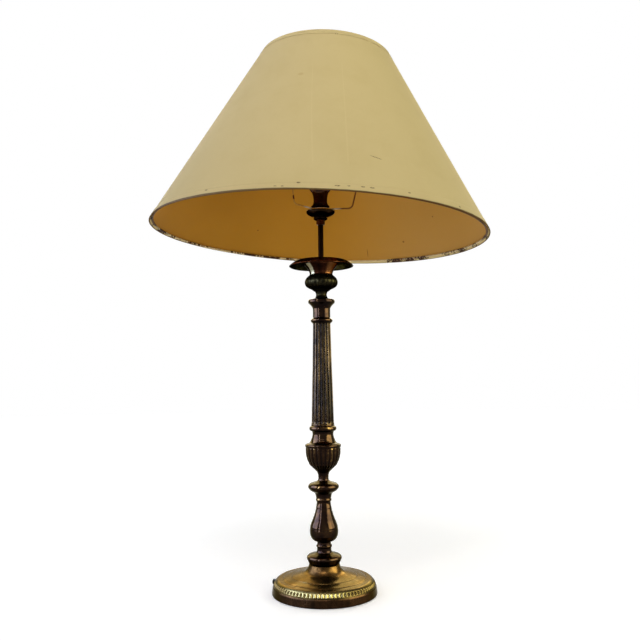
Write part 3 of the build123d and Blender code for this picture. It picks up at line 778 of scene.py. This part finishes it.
def shade_shell(name, bottom, top, inner, outer, materials, rows=60):
    """A closed conical band between two offsets from the card's outer face."""
    columns = SHADE_COLUMNS
    angles = np.linspace(0, 2 * math.pi, columns, endpoint=False)
    up = np.linspace(0, 1, rows + 1)
    angle, share = np.meshgrid(angles, up, indexing="ij")
    height = bottom + (top - bottom) * share
    sheets = []
    for offset in (outer, inner):
        radius = cone_radius(height) + offset
        lift = rim_warp(angle, height)
        sheets.append(np.stack([radius * np.cos(angle), radius * np.sin(angle), height + lift], 2))
    verts = np.concatenate([sheet.reshape(-1, 3) for sheet in sheets]) * MM
    count, line = columns * (rows + 1), rows + 1
    faces, slots = [], []
    for i in range(columns):
        a, b = i * line, ((i + 1) % columns) * line
        for j in range(rows):
            faces.append((a + j, b + j, b + j + 1, a + j + 1))
            slots.append(0)
            faces.append((count + a + j + 1, count + b + j + 1, count + b + j, count + a + j))
            slots.append(min(1, len(materials) - 1))
        faces.append((count + a, count + b, b, a))
        faces.append((a + rows, b + rows, count + b + rows, count + a + rows))
        slots += [0, 0]
    verts = np.array([LEAN @ Vector(v) for v in verts])
    return mesh_object(name, verts, faces, materials, slots)


def cone_place(made):
    """Degrees round the shade from its front, positive to the right, and mm above its lower edge."""
    upright = made.add("ShaderNodeVectorRotate", rotation_type="Y_AXIS")
    made.link(made.vector("SUBTRACT", made.place, tuple(PIVOT)).outputs[0], upright.inputs["Vector"])
    upright.inputs["Angle"].default_value = -SHADE_TILT
    turn, up = turn_and_height(made, upright.outputs[0])
    return turn, made.sum(made.sum(up, 1 / MM, "MULTIPLY"), -RIM_LEVEL)


SPOT_EDGE = (1.25, 0.6)  # a mark fades between these shares of its half sizes


def spot(made, cone, azimuth, height, across, along, slant=0.0):
    """A soft-edged mark on the cone, its half sizes in mm, turned by slant degrees."""
    mm_a_degree = math.radians(cone_radius(RIM_LEVEL + height))
    flat = made.add("ShaderNodeCombineXYZ")
    made.link(made.sum(cone[0], mm_a_degree, "MULTIPLY"), flat.inputs[0])
    made.link(cone[1], flat.inputs[1])
    turned = made.add("ShaderNodeMapping", vector_type="TEXTURE")
    turned.inputs["Location"].default_value = (azimuth * mm_a_degree, height, 0)
    turned.inputs["Rotation"].default_value = (0, 0, math.radians(slant))
    turned.inputs["Scale"].default_value = (across, along, 1)
    made.link(flat.outputs[0], turned.inputs["Vector"])
    reach = made.vector("LENGTH", turned.outputs[0], None).outputs["Value"]
    return made.rise(reach, *SPOT_EDGE)


SEAM_FADE = 12  # mm over which a seam's ends fade


def seam(made, cone, azimuth, lean, low_end, high_end, half_width):
    """A line up the cone. lean is the degrees that it moves to the right over a mm of height."""
    aside = made.sum(made.sum(cone[0], -azimuth), made.sum(cone[1], -lean, "MULTIPLY"))
    line = made.rise(made.size(aside), 0.35 * half_width, 0.1 * half_width)
    lower = made.rise(cone[1], low_end - SEAM_FADE, low_end)
    upper = made.rise(cone[1], high_end + SEAM_FADE, high_end)
    return made.overlap(line, lower, upper)


CARD_FLECKS = [  # azimuth, height, half sizes, slant
    (-34.2, 6.7, 2.6, 0.9, 0), (-12.0, 4.1, 2.0, 0.8, 0), (-10.0, 3.9, 1.8, 0.7, 0),
    (-5.7, 8.8, 2.4, 1.2, 0), (4.9, 6.1, 3.6, 0.9, 0), (8.0, 7.0, 1.8, 0.8, 0),
    (11.9, 7.3, 2.4, 0.9, 0), (14.5, 7.2, 3.0, 1.0, 0), (25.8, 7.6, 1.8, 1.0, 0),
    (45.5, 5.3, 2.4, 1.2, 0), (17.7, 53.0, 7.5, 0.75, -15), (7.6, 262.6, 2.4, 1.1, 0),
]
CARD_STAINS = [(-12.4, 184.5, 4.0, 2.4, 0), (46.1, 262.0, 4.2, 2.4, 0), (31.0, 263.5, 8.0, 1.3, 0)]
# Where the lacquer has chipped off the frame wire and the lower edge, in degrees from the front.
CHIPS = [
    (-100, -93), (-121, -117), (-152, -146), (-163, -157), (-169, -166), (-178, -175), (137, 141),
    (143, 149), (130, 134), (107, 113), (118, 120), (98, 101), (84, 87), (60, 63), (-52, -49),
    (-78, -74),
]
RUST_PLACE = (-0.038, -0.032, 0.574)  # m; a lump of rust on the left arm


def chipped(made, cone):
    """1 where the edge's lacquer is gone."""
    ragged = made.sum(made.sum(made.noise(160, 4, 0.7), -0.5), 22.0, "MULTIPLY")
    turn = made.sum(made.sum(made.sum(cone[0], ragged), 1 / 360, "MULTIPLY"), 0.5)
    stops = [(0.0, 0.0)]
    for start, end in sorted(CHIPS):
        stops += [(start / 360 + 0.5, 1.0), (end / 360 + 0.5, 0.0)]
    half = len(stops) // 2 | 1  # a colour ramp holds 32 stops, so two ramps share them
    masks = []
    for group in (stops[:half], [(0.0, 0.0)] + stops[half:]):
        masks.append(made.ramp(turn, *group))
        masks[-1].node.color_ramp.interpolation = "CONSTANT"
    small = made.rise(made.noise(90, 3, 0.7, at=made.stretched((1.0, 1.0, 0.3))), 0.545, 0.56)
    left = made.rise(cone[0], 0.0, -20.0)
    return all_of(made, masks + [made.overlap(small, left)])


def all_of(made, marks):
    found = marks[0]
    for mark in marks[1:]:
        found = made.sum(found, mark, "MAXIMUM")
    return found


def cream_card(tape=False):
    made = Finish("shade_tape" if tape else "shade_card_outside")
    cone = cone_place(made)
    broad = made.noise(5, 3, 0.5)
    blotch = made.noise(22, 4, 0.6)
    fibre = made.noise(520, 4, 0.6)
    threads = made.noise(420, 3, 0.6, at=made.stretched((1.0, 1.0, 0.06)))
    base = made.ramp(broad, (0.3, ink(203, 183, 130)), (0.7, ink(209, 189, 136)))
    # painted shade: the right half of the card is painted darker and yellower
    right_side_shade = made.overlap(made.rise(cone[0], -30, 60), made.rise(cone[0], 178, 100))
    base = made.layer(base, ink(200, 180, 116), right_side_shade, 0.5)
    base = made.layer(base, ink(186, 162, 102), made.ramp(blotch, (0.45, 0.0), (0.8, 1.0)), 0.22)
    base = made.layer(base, ink(172, 150, 98), fibre, 0.08)
    base = made.layer(base, ink(176, 152, 96), threads, 0.07)
    # painted shade: the card is painted darker toward the lower left
    lower_left_shade = made.overlap(
        made.rise(cone[0], -20, -75), made.rise(cone[1], 150, 0), made.rise(cone[0], -178, -120)
    )
    base = made.layer(base, ink(178, 160, 104), lower_left_shade, 0.6)
    stains = all_of(made, [spot(made, cone, *mark) for mark in CARD_STAINS])
    base = made.layer(base, ink(160, 112, 44), stains, 0.22)
    if not tape:
        seams = all_of(made, [
            seam(made, cone, -1.2, -0.0275, 44, 196, 1.0), seam(made, cone, 8.1, 0.0065, 46, 200, 1.0),
        ])
        base = made.layer(base, ink(232, 214, 160), seams, 0.09)
    flecks = all_of(made, [spot(made, cone, *mark) for mark in CARD_FLECKS])
    broken = made.rise(made.noise(700, 3, 0.7), 0.40, 0.52)
    base = made.layer(base, ink(74, 50, 26), made.overlap(flecks, broken), 0.85)
    edge = made.rise(made.sum(cone[1], made.noise(60, 3, 0.6)), 2.6, 1.7)
    base = made.layer(base, ink(92, 64, 26), edge, 0.9)
    made.set(Base_Color=base, Roughness=0.85, Specular_IOR_Level=0.05)
    made.bump((blotch, 0.05, 0.002), (threads, 0.10, 0.0002), (fibre, 0.12, 0.0002))
    return made.material


def amber_lining():
    made = Finish("shade_card_inside")
    cone = cone_place(made)
    broad = made.noise(6, 3, 0.5)
    fibre = made.noise(480, 4, 0.6)
    base = made.ramp(broad, (0.3, ink(180, 126, 33)), (0.7, ink(188, 133, 38)))
    # painted light: the lining is painted paler on the right side of the inside
    lit_right_inside = made.rise(cone[0], 180, 130)
    right = made.rise(cone[0], 0.0, 70.0)
    base = made.layer(base, ink(206, 157, 74), made.overlap(lit_right_inside, right), 0.8)
    base = made.layer(base, ink(150, 100, 36), fibre, 0.15)
    dots = all_of(made, [
        spot(made, cone, 140.6, 30.2, 2.0, 1.6), spot(made, cone, 158.7, 16.0, 0.7, 7.0),
        spot(made, cone, -150.0, 44.0, 1.4, 1.2), spot(made, cone, 120.0, 60.0, 1.5, 1.2),
    ])
    base = made.layer(base, ink(96, 58, 20), dots, 0.7)
    worn = made.overlap(chipped(made, cone), made.rise(cone[1], 5.0, 3.2))
    base = made.mix(made.rise(cone[1], 4.4, 3.6), base, ink(214, 190, 128))
    base = made.mix(worn, base, ink(58, 34, 14))
    made.set(Base_Color=base, Roughness=0.6, Specular_IOR_Level=0.08)
    made.bump((broad, 0.05, 0.002), (fibre, 0.12, 0.0002))
    return made.material


def frame_wire():
    """Old lacquer on steel wire: gold on the arms, with painted shade on the arms right of the front, cream
    at the ring and the far edge, chipped to rust.
    """
    made = Finish("frame_wire")
    cone = cone_place(made)
    film = made.noise(420, 4, 0.6)
    arms = made.ramp(film, (0.3, ink(158, 112, 42)), (0.7, ink(182, 138, 62)))
    # painted shade: the arms right of the front are painted dark
    right = made.rise(cone[0], 8.0, 14.0)
    arms = made.layer(arms, ink(84, 48, 20), right, 0.8)
    flat = made.vector("MULTIPLY", made.place, (1, 1, 0)).outputs[0]
    from_axis = made.vector("LENGTH", flat, None).outputs["Value"]
    arms = made.mix(made.rise(from_axis, 0.036, 0.026), arms, ink(190, 178, 150))
    from_rust = made.vector("DISTANCE", made.place, RUST_PLACE).outputs["Value"]
    arms = made.mix(made.rise(from_rust, 0.0046, 0.0034), arms, ink(66, 26, 12))
    rim = made.ramp(film, (0.3, ink(206, 184, 128)), (0.7, ink(226, 206, 156)))
    rim = made.mix(made.rise(made.size(cone[0]), 96.0, 84.0), rim, ink(92, 62, 24))
    rim = made.mix(chipped(made, cone), rim, ink(58, 34, 14))
    base = made.mix(made.rise(cone[1], 8.0, 5.0), arms, rim)
    rust = made.rise(made.noise(70, 3, 0.6), 0.60, 0.68)
    base = made.layer(base, ink(112, 58, 24), rust, 0.7)
    made.set(Base_Color=base, Roughness=made.ramp(film, (0.3, 0.5), (0.7, 0.7)), Specular_IOR_Level=0.1)
    made.bump((film, 0.15, 0.0003))
    return made.material


def make_shade():
    outside, inside = cream_card(), amber_lining()
    cover = shade_shell("shade_card", RIM_LEVEL, RIM_LEVEL + SHADE_HEIGHT, -SKIN, 0.0, [outside, inside])
    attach(cover, "shade")
    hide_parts("shade_cover")
    tape = cream_card(tape=True)
    lower = shade_shell(
        "shade_lower_tape", RIM_LEVEL - 0.4, RIM_LEVEL + LOWER_TAPE, TAPE_GAP, 0.45, [tape], rows=4
    )
    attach(lower, "shade")
    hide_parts("shade_bottom_trim")
    top = RIM_LEVEL + SHADE_HEIGHT
    upper = shade_shell("shade_upper_tape", top - UPPER_TAPE, top + 0.3, TAPE_GAP, 0.2, [tape], rows=4)
    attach(upper, "shade")
    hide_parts("shade_top_trim")


# ---------------------------------------------------------------- floor, world, lamps, camera
def seen_or_mirrored(tree):
    """1 for what the camera, a mirror or glass sees, 0 for light that falls on things."""
    path = tree.nodes.new("ShaderNodeLightPath")
    value = path.outputs["Is Camera Ray"]
    for ray in ("Is Glossy Ray", "Is Transmission Ray"):
        either = tree.nodes.new("ShaderNodeMath")
        either.operation = "MAXIMUM"
        tree.links.new(value, either.inputs[0])
        tree.links.new(path.outputs[ray], either.inputs[1])
        value = either.outputs[0]
    return value


FLOOR_RADIUS = 6.0
FLOOR_CORNERS = 48
GLOW_FROM, GLOW_TO = 1.0, 2.6  # m from the stem, between which the floor's glow grows
GLOW_NEAR, GLOW_FAR = 0.23, 0.70  # what the lamps leave short of white, near the lamp and far from it


def make_floor():
    turns = np.linspace(0, 2 * math.pi, FLOOR_CORNERS + 1)[:-1]
    edge = [(FLOOR_RADIUS * math.cos(turn), FLOOR_RADIUS * math.sin(turn), 0.0) for turn in turns]
    made = Finish("floor")
    made.set(Base_Color=made.ramp(made.noise(2, 2), (0.3, 0.88), (0.7, 0.90)))
    away = made.vector("LENGTH", made.place, None).outputs["Value"]
    glow = made.rise(away, GLOW_FROM, GLOW_TO, GLOW_NEAR, GLOW_FAR)
    made.set(Roughness=0.9, Emission_Color=(1, 1, 1, 1))
    made.set(Emission_Strength=made.overlap(seen_or_mirrored(made.tree), glow))
    floor = mesh_object("floor", np.array(edge), [tuple(range(FLOOR_CORNERS))], [made.material])


SOFT_WORLD = 0.30  # the world's light on things; where it is seen it is white


def make_world():
    world = bpy.data.worlds.new("studio")
    bpy.context.scene.world = world
    world.use_nodes = True
    tree = world.node_tree
    tree.nodes.clear()
    out = tree.nodes.new("ShaderNodeOutputWorld")
    mix = tree.nodes.new("ShaderNodeMixShader")
    tree.links.new(seen_or_mirrored(tree), mix.inputs[0])
    for strength, socket in ((SOFT_WORLD, mix.inputs[1]), (1.0, mix.inputs[2])):
        shader = tree.nodes.new("ShaderNodeBackground")
        shader.inputs["Color"].default_value = (1, 1, 1, 1)
        shader.inputs["Strength"].default_value = strength
        tree.links.new(shader.outputs[0], socket)
    tree.links.new(mix.outputs[0], out.inputs["Surface"])


# Azimuth of the middle in degrees from the front, positive to the right, then its height, distance,
# width and length in m, the radiance and the colour.
LAMPS = {
    "streak": (-40, 0.85, 2.0, 0.06, 1.6, 12.0, (1.0, 0.98, 0.95)),
    "left_box": (-86, 0.90, 1.7, 0.40, 1.4, 0.3, (1.0, 0.98, 0.95)),
    "right_box": (66, 0.90, 1.9, 0.16, 1.5, 8.0, (1.0, 0.97, 0.92)),
    "top_box": (-4, 2.10, 1.3, 0.90, 0.7, 8.7, (1.0, 0.99, 0.97)),
    "back_left": (-148, 1.20, 1.8, 0.60, 1.0, 3.0, (1.0, 0.98, 0.95)),
    "back_right": (150, 1.20, 1.8, 0.60, 1.0, 3.6, (1.0, 0.97, 0.92)),
}
# Pale cards that only the metal mirrors, as a photographer stands them round polished brass.
CARDS = {
    "right_card": (72, 1.12, 2.0, 2.20, 1.9, 16.0, (0.94, 0.97, 0.62)),
    "left_card": (-86, 1.12, 2.0, 2.00, 1.9, 26.0, (0.52, 0.66, 1.0)),
    "streak_card": (-40, 1.05, 1.9, 0.10, 2.0, 80.0, (0.60, 0.74, 1.0)),
    "petal_card": (-22, 2.00, 1.2, 1.50, 0.5, 8.0, (1.0, 0.96, 0.85)),
    "back_card": (180, 1.50, 2.0, 4.00, 1.6, 3.2, (1.0, 0.92, 0.76)),
}
LAMP_AIM = Vector((0, 0, 0.40))


def make_lamps():
    for name, (azimuth, height, away, width, length, radiance, colour) in {**LAMPS, **CARDS}.items():
        data = bpy.data.lights.new(name, "AREA")
        data.shape = "RECTANGLE"
        data.size, data.size_y = width, length
        data.energy = radiance * math.pi * width * length  # W; a flat lamp of that radiance gives off this
        data.color = colour
        lamp = bpy.data.objects.new(name, data)
        bpy.context.scene.collection.objects.link(lamp)
        turn = math.radians(azimuth)
        lamp.location = (away * math.sin(turn), -away * math.cos(turn), height)
        lamp.rotation_euler = (LAMP_AIM - lamp.location).to_track_quat("-Z", "Y").to_euler()
        lamp.visible_camera = False
        lamp.visible_diffuse = name in LAMPS


CAMERA_PIXELS = 640
CAMERA_FOCAL_PIXELS = 698.2
CAMERA_PLACE = Vector((-0.00248, -1.03803, 0.3058))
CAMERA_PITCH = math.radians(4.9245)
CAMERA_ROLL = math.radians(-0.629)


def make_camera():
    data = bpy.data.cameras.new("camera")
    data.sensor_width = 36.0
    data.lens = data.sensor_width * CAMERA_FOCAL_PIXELS / CAMERA_PIXELS
    camera = bpy.data.objects.new("camera", data)
    bpy.context.scene.collection.objects.link(camera)
    turn = Matrix.Rotation(math.radians(90) + CAMERA_PITCH, 4, "X") @ Matrix.Rotation(CAMERA_ROLL, 4, "Z")
    camera.matrix_world = Matrix.Translation(CAMERA_PLACE) @ turn
    bpy.context.scene.camera = camera


make_camera()
paint_all()
make_foot()
make_stem()
make_pan()
make_dish()
make_shade()
make_floor()
make_world()
make_lamps()
bpy.context.scene.view_settings.view_transform = "Standard"
